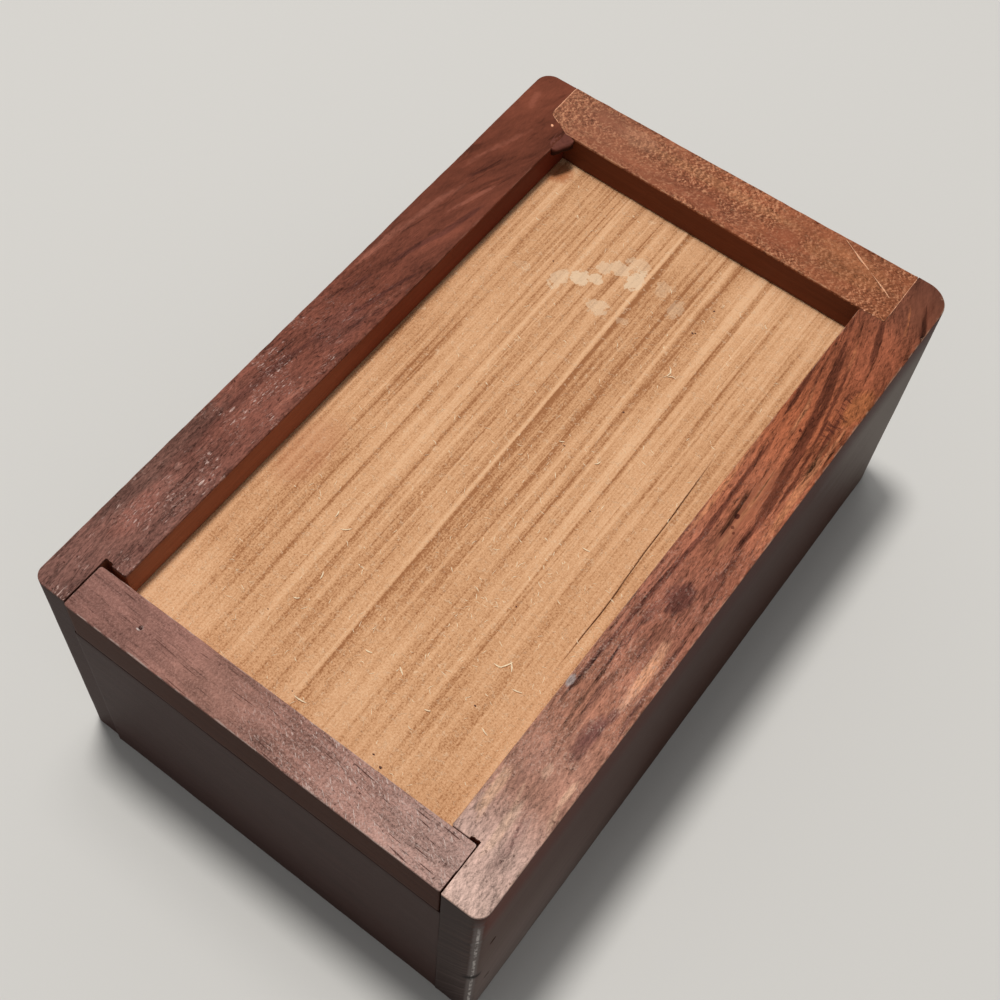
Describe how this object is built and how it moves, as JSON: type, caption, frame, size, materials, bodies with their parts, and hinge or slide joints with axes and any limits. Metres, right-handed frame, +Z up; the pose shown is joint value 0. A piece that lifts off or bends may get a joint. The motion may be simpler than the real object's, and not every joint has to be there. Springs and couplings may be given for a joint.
{
  "type": "sliding lid wooden box",
  "caption": "Rectangular rosewood box with rabbeted corners and a recessed fibreboard lid that slides out endways with its rosewood end strip.",
  "frame": {"origin": "middle of the underside of the box", "axes": "+Z up out of the rim, +Y from the lid's finger end to the back, +X to the right seen from the finger end"},
  "size_m": [0.089, 0.1406, 0.0575],
  "materials": {
    "rosewood": "sanded and waxed, satin",
    "fibreboard": "raw, matt",
    "steel_wire": "dull bright wire"
  },
  "bodies": {
    "box": {"left_side": "rosewood", "right_side": "rosewood", "back_end": "rosewood", "front_end": "rosewood", "base_panel": "fibreboard", "corner_brads": "steel_wire"},
    "lid": {"lid_panel": "fibreboard", "lid_end_strip": "rosewood", "lid_pins": "steel_wire"}
  },
  "joints": [
    {"name": "lid_slide", "type": "slide", "parent": "box", "child": "lid", "axis": [0, -1, 0], "range_m": [0, 0.134]}
  ]
}
